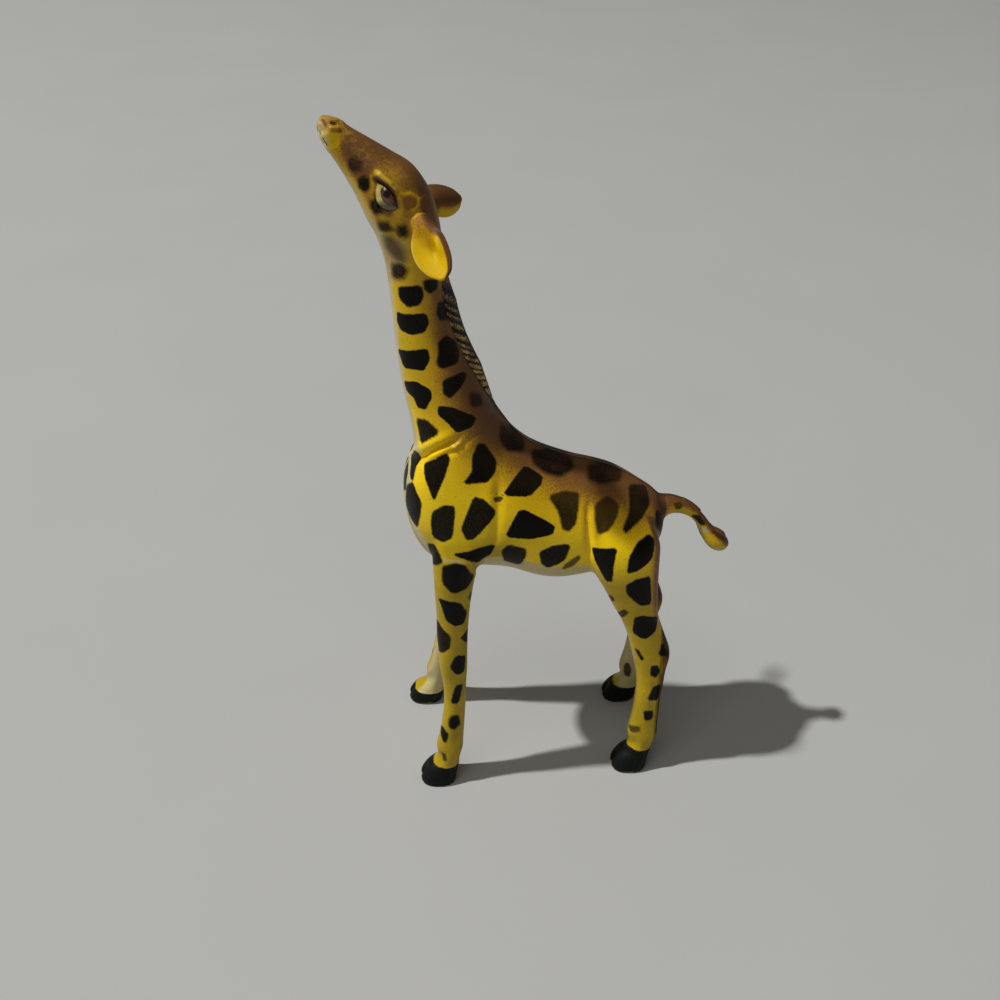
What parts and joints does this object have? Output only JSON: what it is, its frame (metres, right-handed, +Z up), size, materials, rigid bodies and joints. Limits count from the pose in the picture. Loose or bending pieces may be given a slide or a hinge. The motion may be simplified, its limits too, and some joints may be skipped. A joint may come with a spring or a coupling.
{
  "type": "toy giraffe figure",
  "caption": "Standing toy giraffe of painted soft plastic, its long neck raised, for pretend play; it rests on its hooves.",
  "frame": {"origin": "on the surface it stands on, under the middle of the figure's length and width", "axes": "+Z up; the animal faces -Y; its left side is towards +X"},
  "size_m": [0.0326, 0.0776, 0.1399],
  "materials": {
    "body_paint": "satin yellow paint on soft PVC, red-brown overspray on the back, airbrushed black-brown patches",
    "neck_paint": "satin yellow paint on soft PVC, red-brown overspray on the nape and crown, dark patches, painted eyes",
    "leg_paint": "satin yellow paint with dark patches, cream on the inner sides, green-black painted hooves",
    "ear_paint": "satin yellow paint inside, red-brown outside",
    "tail_paint": "brown overspray over yellow paint, dark marks"
  },
  "bodies": {
    "root": {"torso": "body_paint", "head_and_neck": "neck_paint", "left_front_leg": "leg_paint", "right_front_leg": "leg_paint", "left_hind_leg": "leg_paint", "right_hind_leg": "leg_paint", "left_ear": "ear_paint", "right_ear": "ear_paint", "tail": "tail_paint"}
  },
  "joints": []
}
